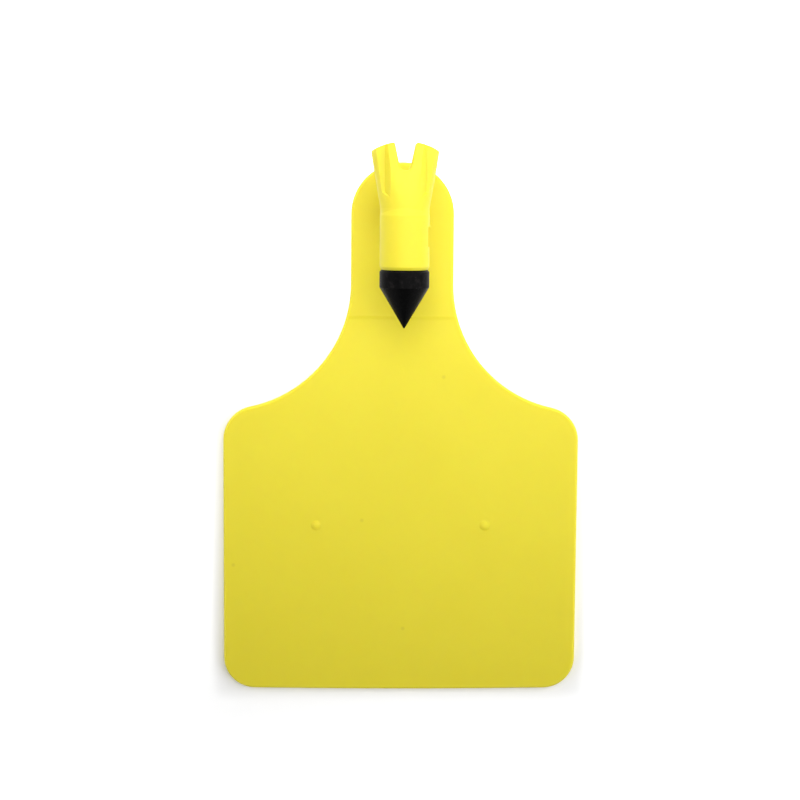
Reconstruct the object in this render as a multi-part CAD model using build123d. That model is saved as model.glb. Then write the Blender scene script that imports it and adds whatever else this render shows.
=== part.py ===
from build123d import *
import os
from math import cos, pi, radians, sin, sqrt, tan

# One-piece cattle ear tag, lying on its flat front face with its back up. Millimetres.
# +Z is the back of the tag, +Y runs from the panel to the neck.
# The origin is on the stem's axis, in the plane of the front face.

# Plate: panel, flared shoulders and neck
panel_width = 76.0
panel_reach = 102.4
panel_thickness = 1.6
bottom_bow = 0.35
foot_radius = 6.8
shoulder_radius = 7.1
flare_radius = 27.0
neck_width = 21.74
neck_straight = 14.8
neck_thickness = 1.75
neck_step_reach = 22.3
neck_step_run = 0.7
back_edge_break = 0.35

# Two low pips on the back of the panel
pip_spread = 18.15
pip_reach = 66.7
pip_radius = 1.1
pip_height = 0.42

# Stem that passes through the ear, flared at both ends
ear_gap = 10.95
stem_radius = 3.4
stem_root_flare = 1.1
stem_root_height = 1.5
stem_head_round = 1.0
stem_head_drop = 2.0

# Barrel, from its tapered front rim to the conical shoulder before the tail
barrel_radius = 5.05
barrel_reach = 10.38
rim_length = 0.62
rim_radius = 4.7
shoulder_run = 1.5
scar_start = 2.35
scar_length = 4.05
scar_depth = 0.35

# Forked tail: an oval horn with a sloping crown, cut to a fork, with a pocket on each side of each face
tail_half_height = 4.75
tail_front_half_width = 5.0
tail_flare_angle = 9.5
tail_end = 14.83
tail_end_radius = 13.2
tail_edge_round = 0.4
notch_bottom = 9.0
notch_bottom_radius = 1.25
notch_half_angle = 11.6
notch_mouth_round = 0.5
crown_start = 4.4
crown_angle = 8.5
crown_edge_blend = 0.5
horn_sections = 6
section_points = 36
pocket_floor = 2.55
pocket_foot = 4.15
pocket_wall_angle = 52.0
pocket_start = 4.7
pocket_start_angle = 50.0

# Hard tip with a barbed shank, and the socket for the applicator's pin behind it
tip_radius = 5.08
tip_collar_length = 3.58
tip_edge_break = 0.4
tip_half_angle = 30.7
tip_point_flat = 0.12
shank_radius = 3.0
shank_length = 6.6
barb_radius = 3.7
barb_inset = 1.6
barb_length = 2.0
socket_radius = 2.2

# Places that follow from the sizes above
axis_height = neck_thickness + ear_gap + barrel_radius
barrel_axis = Axis((0, 0, axis_height), (0, 1, 0))
barrel_side_plane = Plane(origin=(0, 0, axis_height), x_dir=(0, 1, 0), z_dir=(-1, 0, 0))
seat_reach = barrel_reach + rim_length
shank_reach = seat_reach - shank_length
past_tail = tail_end + tail_end_radius


def across_barrel(along):
    """Plane square to the barrel, facing the tip, with its own x along X and its own y along Z."""
    return Plane(origin=(0, along, axis_height), x_dir=(1, 0, 0), z_dir=(0, -1, 0))


def cross_prism(plane, corners):
    """Prism across the tag's whole width, from corners on a plane that is seen from the side."""
    return extrude(plane * Polygon(*corners, align=None), panel_width, both=True)


def plate_outline():
    """Round neck end, straight neck, flares tangent to the shoulders, and a bowed bottom edge."""
    neck_half = neck_width / 2
    panel_half = panel_width / 2
    flare_centre = Vector(neck_half + flare_radius, -neck_straight)
    centres_apart = flare_radius + shoulder_radius
    shoulder_x = panel_half - shoulder_radius
    shoulder_drop = sqrt(centres_apart**2 - (flare_centre.X - shoulder_x) ** 2)
    shoulder_centre = Vector(shoulder_x, -neck_straight - shoulder_drop)
    meeting = shoulder_centre + (flare_centre - shoulder_centre) * (shoulder_radius / centres_apart)
    flare = TangentArc((neck_half, -neck_straight), meeting, tangent=(0, -1))
    shoulder = TangentArc(meeting, (panel_half, shoulder_centre.Y), tangent=flare % 1)
    right_side = Curve() + [
        Line((neck_half, 0), (neck_half, -neck_straight)),
        flare,
        shoulder,
        Line((panel_half, shoulder_centre.Y), (panel_half, -panel_reach)),
    ]
    neck_end = ThreePointArc((-neck_half, 0), (0, neck_half), (neck_half, 0))
    bottom_middle = (0, -panel_reach - bottom_bow)
    bottom = ThreePointArc((panel_half, -panel_reach), bottom_middle, (-panel_half, -panel_reach))
    outline = make_face(right_side + mirror(right_side, Plane.YZ) + neck_end + bottom)
    feet = outline.vertices().sort_by(Axis.Y)[:2]
    return fillet(feet, foot_radius)


def slab(thickness):
    """The outline at one thickness, with its back edge broken all round."""
    blank = extrude(plate_outline(), thickness)
    return chamfer(blank.edges().group_by(Axis.Z)[-1], back_edge_break)


def plate():
    """Panel of even thickness, and a thicker pad at the neck that ends in a short ramp."""
    ramp_top = neck_step_run - neck_step_reach
    pad_base = panel_thickness / 2
    pad_corners = [
        (-neck_step_reach, pad_base),
        (-neck_step_reach, panel_thickness),
        (ramp_top, neck_thickness),
        (neck_width, neck_thickness),
        (neck_width, pad_base),
    ]
    pad = slab(neck_thickness) & cross_prism(Plane.YZ, pad_corners)
    return slab(panel_thickness) + pad


def pips():
    """Two caps of a sphere, sunk a little into the panel's back."""
    ball_radius = (pip_radius**2 + pip_height**2) / (2 * pip_height)
    ball = Pos(0, 0, panel_thickness + pip_height - ball_radius) * Sphere(ball_radius)
    cap = ball & Pos(0, 0, panel_thickness) * Cylinder(2 * pip_radius, 2 * pip_height)
    return [Pos(side * pip_spread, -pip_reach) * cap for side in (-1, 1)]


def stem():
    """Turned stem with a flared root on the neck and a flare that runs into the barrel."""
    root_edge = stem_radius + stem_root_flare
    head_edge = stem_radius + stem_head_round
    root_top = neck_thickness + stem_root_height
    head_top = axis_height - stem_head_drop
    side = Line((stem_radius, root_top), (stem_radius, head_top - stem_head_round))
    root = TangentArc(side @ 0, (root_edge, neck_thickness), tangent=(0, -1))
    head = TangentArc(side @ 1, (head_edge, head_top), tangent=(0, 1))
    base = neck_thickness / 2
    back = Polyline(head @ 1, (0, head_top), (0, base), (root_edge, base), root @ 1)
    profile = Plane.XZ * make_face(Curve() + [root, side, head, back])
    return revolve(profile, Axis.Z)


def barrel():
    """Turned barrel: tapered rim and straight body, with a flat scar on one side."""
    corners = [
        (-seat_reach, 0),
        (-seat_reach, rim_radius),
        (-barrel_reach, barrel_radius),
        (0, barrel_radius),
        (0, 0),
    ]
    turned = revolve(barrel_side_plane * Polygon(*corners, align=None), barrel_axis)
    scar_middle = scar_start + scar_length / 2
    scar_centre = Pos(2 * barrel_radius - scar_depth, -scar_middle, axis_height)
    return turned - scar_centre * Box(2 * barrel_radius, scar_length, 2 * barrel_radius)


def tail_half_width(along):
    """Half of the tail's width at a distance along the barrel."""
    return tail_front_half_width + (along - shoulder_run) * tan(radians(tail_flare_angle))


def fork_outline():
    """The fork seen from above: a bowed end, and a notch with a round bottom and a rounded mouth."""
    end_disc = Pos(0, tail_end - tail_end_radius) * Circle(tail_end_radius)
    half_angle = radians(notch_half_angle)
    notch_point = notch_bottom + notch_bottom_radius * (1 - 1 / sin(half_angle))
    mouth_half = (past_tail - notch_point) * tan(half_angle)
    notch = Polygon((0, notch_point), (mouth_half, past_tail), (-mouth_half, past_tail), align=None)
    notch = fillet(notch.vertices().sort_by(Axis.Y)[0], notch_bottom_radius)
    fork = end_disc - notch
    mouth_corners = fork.vertices().sort_by(Axis.Y)[-2:]
    return fillet(mouth_corners, notch_mouth_round)


def soft_min(first, second, blend):
    """Smaller of two lengths, rounded off where they differ by less than the blend."""
    return min(first, second) - max(blend - abs(first - second), 0) ** 2 / (4 * blend)


def horn_radius(turn, along):
    """Distance from the barrel's axis to the horn's skin: an oval under a sloping crown."""
    sideways = abs(cos(turn))
    upward = max(abs(sin(turn)), section_points**-2)
    oval = 1 / sqrt((sideways / tail_half_width(along)) ** 2 + (upward / tail_half_height) ** 2)
    crown_height = tail_half_height - (along - crown_start) * tan(radians(crown_angle))
    return soft_min(oval, crown_height / upward, crown_edge_blend)


def horn_section(along):
    """Smooth closed section of the horn, square to the barrel."""
    turns = [2 * pi * step / section_points for step in range(section_points)]
    rim = [(horn_radius(turn, along) * cos(turn), horn_radius(turn, along) * sin(turn)) for turn in turns]
    return across_barrel(along) * make_face(Spline(*rim, periodic=True))


def pockets():
    """Four pockets, each with a level floor, a wall that leans in, and a slope at its front end."""
    top = 2 * tail_half_height
    wall_lean = (top - pocket_floor) / tan(radians(pocket_wall_angle))
    start_lean = (top - pocket_floor) / tan(radians(pocket_start_angle))
    outside = pocket_foot + tail_end_radius
    section = [
        (pocket_foot, pocket_floor),
        (outside, pocket_floor),
        (outside, top),
        (pocket_foot - wall_lean, top),
    ]
    side_view = [
        (pocket_start, axis_height + pocket_floor),
        (past_tail, axis_height + pocket_floor),
        (past_tail, axis_height + top),
        (pocket_start - start_lean, axis_height + top),
    ]
    trough = extrude(across_barrel(past_tail) * Polygon(*section, align=None), 2 * past_tail)
    pocket = trough & cross_prism(Plane.YZ, side_view)
    upper = pocket + mirror(pocket, Plane.YZ)
    return upper + mirror(upper, Plane.XY.offset(axis_height))


def tail():
    """Conical shoulder, and a horn lofted past the end, cut to the fork, with its end edges rounded."""
    cone_start = across_barrel(0) * Circle(barrel_radius)
    cone_end = across_barrel(2 * shoulder_run) * Circle(2 * tail_half_height - barrel_radius)
    shoulder = extrude(horn_section(shoulder_run), shoulder_run) + loft([cone_start, cone_end])
    past_end = tail_end + tail_edge_round
    spacing = (past_end - shoulder_run) / (horn_sections - 1)
    horn = loft([horn_section(shoulder_run + spacing * step) for step in range(horn_sections)])
    fork = horn & Pos(0, 0, axis_height) * extrude(fork_outline(), 2 * tail_half_height, both=True)
    behind_notch = notch_bottom - notch_bottom_radius
    end_edges = [
        edge
        for edge in fork.edges().filter_by(GeomType.LINE, reverse=True)
        if edge.bounding_box().min.Y > behind_notch
    ]
    return shoulder + fillet(end_edges, tail_edge_round) - pockets()


def piercing_tip():
    """Turned hard tip: blunted point, cone, collar, and a shank with one barb."""
    cone_base = -seat_reach - tip_collar_length
    point = cone_base - (tip_radius - tip_point_flat) / tan(radians(tip_half_angle))
    barb_face = barb_inset - seat_reach
    corners = [
        (point, 0),
        (point, tip_point_flat),
        (cone_base, tip_radius),
        (-seat_reach - tip_edge_break, tip_radius),
        (-seat_reach, tip_radius - tip_edge_break),
        (-seat_reach, shank_radius),
        (barb_face, shank_radius),
        (barb_face, barb_radius),
        (barb_face + barb_length, shank_radius),
        (-shank_reach, shank_radius),
        (-shank_reach, 0),
    ]
    return revolve(barrel_side_plane * Polygon(*corners, align=None), barrel_axis)


def tag_body(tip):
    """Everything moulded in one shot, hollow behind the tip for the applicator's pin."""
    socket_start = across_barrel(past_tail) * Circle(socket_radius)
    socket = extrude(socket_start, past_tail + shank_reach)
    return plate() + pips() + stem() + barrel() + tail() - tip - socket


tip = piercing_tip()
nodes = {"tag_body": tag_body(tip), "piercing_tip": tip}
os.makedirs("parts", exist_ok=True)
for name, solid in nodes.items():
    export_step(solid, f"parts/{name}.step")
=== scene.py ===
import bpy
import numpy as np
from mathutils import Matrix, Vector


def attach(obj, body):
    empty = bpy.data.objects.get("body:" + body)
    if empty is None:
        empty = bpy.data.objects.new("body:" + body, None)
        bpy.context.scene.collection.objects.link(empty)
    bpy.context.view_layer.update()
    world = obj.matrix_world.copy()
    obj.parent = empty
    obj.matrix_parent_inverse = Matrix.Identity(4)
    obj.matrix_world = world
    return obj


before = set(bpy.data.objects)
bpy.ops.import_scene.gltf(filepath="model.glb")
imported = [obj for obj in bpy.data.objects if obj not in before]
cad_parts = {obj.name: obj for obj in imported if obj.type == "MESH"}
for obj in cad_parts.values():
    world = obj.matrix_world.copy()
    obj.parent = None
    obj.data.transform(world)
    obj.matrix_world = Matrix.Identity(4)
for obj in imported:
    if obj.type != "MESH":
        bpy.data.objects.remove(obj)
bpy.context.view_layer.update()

# Tag body: panel, neck, stem and forked barrel, moulded in one shot from flexible yellow polyurethane.
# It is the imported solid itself. Its skin is a fine satin off the mould, a little cloudy in tone,
# with a few dull specks in the resin.
mm = 0.001
resin_yellow = (0.744, 0.645, 0.032, 1.0)
resin_cloud = (0.720, 0.619, 0.028, 1.0)
speck_brown = (0.660, 0.560, 0.030, 1.0)
cloud_size = 14 * mm
cloud_detail = 4.0
noise_middle = 0.5
speck_spacing = 9 * mm
speck_core = 0.15 * mm
speck_edge = 0.6 * mm
speck_share = 0.10
grain_size = 0.16 * mm
grain_height = 0.004 * mm
ripple_size = 9 * mm
ripple_height = 0.010 * mm
satin_roughness = 0.58
satin_spread = 0.10
resin_gloss = 0.32
resin_scatter = 0.6
resin_scatter_reach = 2.5 * mm
resin_scatter_colour = (1.0, 0.8, 0.2)
plastic_ior = 1.5


class Signal:
    """A shader socket in Python expressions: each operator on it adds one Math node to its tree."""

    def __init__(self, tree, socket=None):
        self.tree = tree
        self.socket = socket

    def node(self, kind, settings=None, sockets=None, output=None):
        """Adds a node, sets its settings, then the values or links of its sockets, and gives one output."""
        made = self.tree.nodes.new(kind)
        for name, value in (settings or {}).items():
            setattr(made, name, value)
        inputs = {socket.identifier: socket for socket in made.inputs}
        for name, value in (sockets or {}).items():
            if isinstance(value, Signal):
                self.tree.links.new(value.socket, inputs[name])
            else:
                inputs[name].default_value = value
        outputs = {socket.identifier: socket for socket in made.outputs}
        return Signal(self.tree, outputs[output] if output else made.outputs[0])

    def maths(self, operation, first, second):
        """One Math node on two values."""
        return self.node("ShaderNodeMath", {"operation": operation}, {"Value": first, "Value_001": second})

    def vectors(self, operation, first, second=(0.0, 0.0, 0.0)):
        """One Vector Math node on two vectors."""
        sockets = {"Vector": first, "Vector_001": second}
        return self.node("ShaderNodeVectorMath", {"operation": operation}, sockets, output="Vector")

    def __add__(self, other):
        return self.maths("ADD", self, other)

    def __radd__(self, other):
        return self.maths("ADD", other, self)

    def __sub__(self, other):
        return self.maths("SUBTRACT", self, other)

    def __rsub__(self, other):
        return self.maths("SUBTRACT", other, self)

    def __mul__(self, other):
        return self.maths("MULTIPLY", self, other)

    def __rmul__(self, other):
        return self.maths("MULTIPLY", other, self)

    def __lt__(self, other):
        return self.maths("LESS_THAN", self, other)

    def blend(self, first, second):
        """Colour between two others: the first where this value is 0, the second where it is 1."""
        return self.node(
            "ShaderNodeMix",
            {"data_type": "RGBA"},
            {"Factor_Float": self, "A_Color": first, "B_Color": second},
            output="Result_Color",
        )

    def noise(self, size, detail=2.0):
        """Cloudy value from 0 to 1 at this place, with features of a real size."""
        return self.node("ShaderNodeTexNoise", None, {"Vector": self, "Scale": 1 / size, "Detail": detail})

    def ramp(self, low, high):
        """Smooth step of this value, from 0 at the low end to 1 at the high end."""
        ends = {"Value": self, "From Min": low, "From Max": high, "To Min": 0.0, "To Max": 1.0}
        return self.node("ShaderNodeMapRange", {"interpolation_type": "SMOOTHSTEP"}, ends, output="Result")

    def feed(self, shader, name):
        """Links this signal to a named socket of a shader."""
        self.tree.links.new(self.socket, shader.inputs[name])


def new_material(name, constants):
    """Material with one Principled shader, whose even values are set on its own sockets."""
    made = bpy.data.materials.new(name)
    made.use_nodes = True
    shader = made.node_tree.nodes["Principled BSDF"]
    for socket, value in constants.items():
        shader.inputs[socket].default_value = value
    place = Signal(made.node_tree).node("ShaderNodeTexCoord", output="Object")
    return made, shader, place


def dress(piece, finish):
    """Puts one material in every slot of a piece."""
    for slot in piece.material_slots:
        slot.material = finish


resin, resin_shader, resin_place = new_material(
    "satin_yellow_polyurethane",
    {
        "IOR": plastic_ior,
        "Specular IOR Level": resin_gloss,
        "Subsurface Weight": resin_scatter,
        "Subsurface Radius": resin_scatter_colour,
        "Subsurface Scale": resin_scatter_reach,
    },
)
cloud = resin_place.noise(cloud_size, cloud_detail)
flat_cells = {"voronoi_dimensions": "2D"}
cell_sockets = {"Vector": resin_place, "Scale": 1 / speck_spacing}
cell_distance = resin_place.node("ShaderNodeTexVoronoi", flat_cells, cell_sockets, output="Distance")
cell_colour = resin_place.node("ShaderNodeTexVoronoi", flat_cells, cell_sockets, output="Color")
cell_number = cell_colour.node("ShaderNodeSeparateColor", None, {"Color": cell_colour}, output="Red")
speck_fade = cell_distance.ramp(speck_core / speck_spacing, speck_edge / speck_spacing)
speck = (1 - speck_fade) * (cell_number < speck_share)
speck.blend(cloud.blend(resin_yellow, resin_cloud), speck_brown).feed(resin_shader, "Base Color")
(satin_roughness + (cloud - noise_middle) * satin_spread).feed(resin_shader, "Roughness")
relief = resin_place.noise(grain_size) + resin_place.noise(ripple_size) * (ripple_height / grain_height)
skin = {"Strength": 1.0, "Distance": grain_height, "Height": relief}
resin_place.node("ShaderNodeBump", None, skin).feed(resin_shader, "Normal")
dress(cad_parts["tag_body"], resin)

# Parting beads: the fine ridges that the two halves of the mould leave along both sides of the barrel
# and the horn, at the barrel's axis. They are the body's own resin, broken by the scar on the right.
axis_height = 17.75 * mm
barrel_radius = 5.05 * mm
horn_start = 1.5 * mm
horn_half_width = 5.0 * mm
horn_flare_angle = 9.5
horn_flare = np.tan(np.radians(horn_flare_angle))
bead_front = -10.2 * mm
bead_end = 12.2 * mm
bead_width = 0.07 * mm
bead_height = 0.055 * mm
bead_rows = 60
bead_columns = 12
bead_taper = (0.02, 0.98)
scar_front = -6.5 * mm
scar_back = -2.25 * mm
bead_runs = {
    "bead_left": (-1, bead_front, bead_end),
    "bead_right_front": (1, bead_front, scar_front),
    "bead_right_tail": (1, scar_back, bead_end),
}


def grid_piece(name, places, finish):
    """Closed piece from a grid of places: columns go round, rows go along, and both end rows are capped."""
    rows, columns = places.shape[:2]
    first = np.arange(rows * columns).reshape(rows, columns)
    beside = np.roll(first, -1, axis=1)
    sides = np.stack([first[:-1], beside[:-1], beside[1:], first[1:]], axis=-1).reshape(-1, 4).tolist()
    caps = [first[0, ::-1].tolist(), first[-1].tolist()]
    mesh = bpy.data.meshes.new(name)
    mesh.from_pydata(places.reshape(-1, 3).tolist(), [], sides + caps)
    mesh.polygons.foreach_set("use_smooth", np.ones(len(mesh.polygons), dtype=bool))
    piece = bpy.data.objects.new(name, mesh)
    bpy.context.collection.objects.link(piece)
    piece.data.materials.append(finish)
    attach(piece, "root")
    return piece


def bead(side, start, end):
    """Oval rod that follows the barrel's side, then the horn's, half sunk, and thins out at its ends.

    Place = (side * (skin + height * fade * cos(turn)), along, axis height + width * fade * sin(turn)).
    """
    along = np.linspace(start, end, bead_rows)[:, None]
    turn = -side * np.linspace(0, 2 * np.pi, bead_columns, endpoint=False)
    horn = horn_half_width + np.maximum(along - horn_start, 0) * horn_flare
    skin = np.where(along < 0, barrel_radius, horn)
    fade = np.sqrt(np.sin(np.pi * np.linspace(*bead_taper, bead_rows)))[:, None]
    across = side * (skin + bead_height * fade * np.cos(turn))
    upward = axis_height + bead_width * fade * np.sin(turn)
    return np.stack(np.broadcast_arrays(across, along, upward), axis=-1)


for name, run in bead_runs.items():
    grid_piece(name, bead(*run), resin)

# Gate nib: the torn stub of resin beside the scar, where the mould was filled.
# It is an uneven bead of the same resin, half sunk in the right side of the barrel.
nib_place = np.array((5.0, -2.2, 17.9)) * mm
nib_size = np.array((0.36, 0.24, 0.42)) * mm
nib_rows = 24
nib_columns = 32
nib_poles = (0.02, 0.98)
nib_tear = 0.14
nib_lobes = 3
nib_twist = 1.0


def nib():
    """Egg with its poles along X, whose girth swells and shrinks in a few lobes as it is passed round.

    Place = middle + size * torn * (-cos(rise), sin(rise) * cos(turn), sin(rise) * sin(turn)).
    """
    rise = np.linspace(*nib_poles, nib_rows)[:, None] * np.pi
    turn = np.linspace(0, 2 * np.pi, nib_columns, endpoint=False)
    torn = 1 + nib_tear * np.sin(nib_lobes * turn + nib_twist) * np.sin(rise) ** 2
    girth = np.sin(rise) * torn
    egg = np.broadcast_arrays(-np.cos(rise) * torn, girth * np.cos(turn), girth * np.sin(turn))
    return nib_place + nib_size * np.stack(egg, axis=-1)


grid_piece("gate_nib", nib(), resin)

# Piercing tip: a hard black point of filled nylon, pressed into the barrel's front by its barbed shank.
# Its collar is mottled with scuffs and a few pale grains of filler, and the cone is smoother.
nylon_black = (0.0023, 0.0023, 0.0024, 1.0)
nylon_scuff = (0.009, 0.008, 0.008, 1.0)
nylon_grain = (0.045, 0.042, 0.040, 1.0)
collar_front = (-14.7 * mm, -14.4 * mm)
scuff_size = 0.9 * mm
scuff_detail = 4.0
scuff_stretch = (1.0, 0.7, 1.0)
scuff_span = (0.48, 0.74)
filler_size = 0.32 * mm
filler_span = (0.70, 0.80)
cone_roughness = 0.26
collar_roughness = 0.42
nylon_spread = 0.2
nylon_gloss = 0.03
nylon_sockets = {"IOR": plastic_ior, "Specular IOR Level": nylon_gloss}
nylon, nylon_shader, nylon_place = new_material("satin_black_nylon", nylon_sockets)
scuff = nylon_place.vectors("MULTIPLY", nylon_place, scuff_stretch).noise(scuff_size, scuff_detail)
along = nylon_place.node("ShaderNodeSeparateXYZ", None, {"Vector": nylon_place}, output="Y")
collar = along.ramp(*collar_front)
mottle = (scuff.ramp(*scuff_span) * collar).blend(nylon_black, nylon_scuff)
filler = nylon_place.noise(filler_size).ramp(*filler_span) * collar
filler.blend(mottle, nylon_grain).feed(nylon_shader, "Base Color")
wear = collar * (collar_roughness - cone_roughness) + (scuff - noise_middle) * nylon_spread
(cone_roughness + wear).feed(nylon_shader, "Roughness")
dress(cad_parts["piercing_tip"], nylon)

# Floor: the plain white table that the tag lies on, just under its front face.
# To the camera it is pure white, with painted light added away from the tag: a glow that grows with the
# distance from the tag's outline and fills in where the lamps fall off; the shadow stays.
floor_half = 3.0
floor_drop = 0.05 * mm
floor_white = (0.86, 0.86, 0.86, 1.0)
seen_white = (1.0, 1.0, 1.0, 1.0)
no_glow = (0.0, 0.0, 0.0, 1.0)
panel_middle = (0.0, -68.5 * mm, 0.0)
panel_half_size = (38 * mm, 34 * mm, 0.0)
near_ramp = (0.4 * mm, 4 * mm)
near_glow = 0.15
far_ramp = (3 * mm, 40 * mm)
far_glow = 0.50
floor_roughness = 0.9


def shows_background(signal):
    """1 for the rays that show what lies behind the tag: the camera's, and those in mirrors and glass."""
    names = ("Is Camera Ray", "Is Glossy Ray", "Is Transmission Ray")
    direct, mirrored, through = (signal.node("ShaderNodeLightPath", output=name) for name in names)
    return direct + mirrored + through


corners = np.array([(-1, -1, 0), (1, -1, 0), (1, 1, 0), (-1, 1, 0)]) * floor_half
corners[:, 2] = -floor_drop
floor_mesh = bpy.data.meshes.new("floor")
floor_mesh.from_pydata(corners.tolist(), [], [(0, 1, 2, 3)])
floor = bpy.data.objects.new("floor", floor_mesh)
bpy.context.collection.objects.link(floor)
paint_sockets = {"Roughness": floor_roughness, "Emission Strength": 1.0}
paint, paint_shader, paint_place = new_material("white_floor", paint_sockets)
seen = shows_background(paint_place)
seen.blend(floor_white, seen_white).feed(paint_shader, "Base Color")
apart = paint_place.vectors("ABSOLUTE", paint_place.vectors("SUBTRACT", paint_place, panel_middle))
beyond = paint_place.vectors("MAXIMUM", paint_place.vectors("SUBTRACT", apart, panel_half_size))
away = paint_place.node("ShaderNodeVectorMath", {"operation": "LENGTH"}, {"Vector": beyond}, output="Value")
# Painted light: emission seen only by the camera and in mirrors and glass, none at the tag's edge, rising
# outward over a few millimetres and then over a few centimetres.
painted_floor_glow = seen * (away.ramp(*near_ramp) * near_glow + away.ramp(*far_ramp) * far_glow)
painted_floor_glow.blend(no_glow, seen_white).feed(paint_shader, "Emission Color")
floor.data.materials.append(paint)

# Light: a pale horizon all round, two bright strips of wall on the left and the right under a dark ceiling,
# three soft boxes with grids over the neck and the shoulders, one wide soft box on the right, and a low one
# behind the neck's end. The horizon is plain white where it is seen.
horizon_level = 0.44
strip_level = 2.65
strip_foot = (0.26, 0.42)
strip_head = (0.58, 0.70)
strip_sides = (0.30, 0.50)
grid_spread = 50.0
half_spread = 90.0
open_spread = 180.0
# Each lamp has its place, aim and width in millimetres, its spread in degrees and its power in watts.
lamps = {
    "left_box": ((-70, 60, 300), (-21, 30, 0), 250, grid_spread, 0.050),
    "top_box": ((0, 200, 300), (0, 100, 0), 250, grid_spread, 0.105),
    "right_box": ((150, 20, 300), (45, 10, 0), 250, grid_spread, 0.040),
    "wide_box": ((200, 40, 250), (0, -30, 0), 400, open_spread, 0.400),
    "low_box": ((0, 250, 60), (0, 10, 0), 200, half_spread, 0.100),
}
for name, (place, aim, width, spread, power) in lamps.items():
    lamp = bpy.data.lights.new(name, "AREA")
    lamp.shape = "DISK"
    lamp.size = width * mm
    lamp.spread = np.radians(spread)
    lamp.energy = power
    soft_box = bpy.data.objects.new(name, lamp)
    turn = (Vector(aim) - Vector(place)).to_track_quat("-Z", "Y")
    soft_box.matrix_world = Matrix.LocRotScale(Vector(place) * mm, turn, None)
    soft_box.visible_camera = False
    bpy.context.collection.objects.link(soft_box)
world = bpy.data.worlds.new("studio")
world.use_nodes = True
bpy.context.scene.world = world
sky = Signal(world.node_tree)
direction = {"Vector": sky.node("ShaderNodeTexCoord", output="Generated")}
across = sky.node("ShaderNodeSeparateXYZ", None, direction, output="X")
upward = sky.node("ShaderNodeSeparateXYZ", None, direction, output="Z")
above_horizon = upward.ramp(*strip_foot)
strips = above_horizon * (1 - upward.ramp(*strip_head)) * (across * across).ramp(*strip_sides)
backdrop = world.node_tree.nodes["Background"]
horizon = (horizon_level + shows_background(sky) * (1 - horizon_level)) * (1 / strip_level)
shine = (1 - above_horizon) * horizon + strips
shine.blend(no_glow, seen_white).feed(backdrop, "Color")
backdrop.inputs["Strength"].default_value = strip_level

# Camera: straight above the tag, aimed at the panel's upper half, with a long lens.
camera_place = Vector((-10.57, 6.17, 400.0)) * mm
camera_target = Vector((-0.25, -39.71, 0.0)) * mm
camera_roll = 0.416
camera_lens = 84.52
camera_sensor = 36.0
camera_near = 10 * mm
camera_data = bpy.data.cameras.new("camera")
camera_data.lens = camera_lens
camera_data.sensor_width = camera_sensor
camera_data.sensor_fit = "HORIZONTAL"
camera_data.clip_start = camera_near
camera = bpy.data.objects.new("camera", camera_data)
forward = (camera_target - camera_place).normalized()
level_right = forward.cross(Vector((0, 1, 0))).normalized()
level_up = level_right.cross(forward)
turn = np.radians(camera_roll)
picture_right = np.cos(turn) * level_right + np.sin(turn) * level_up
picture_up = np.cos(turn) * level_up - np.sin(turn) * level_right
axes = Matrix((picture_right, picture_up, -forward)).transposed()
camera.matrix_world = Matrix.Translation(camera_place) @ axes.to_4x4()
bpy.context.collection.objects.link(camera)
bpy.context.scene.camera = camera
bpy.context.scene.view_settings.view_transform = "Standard"
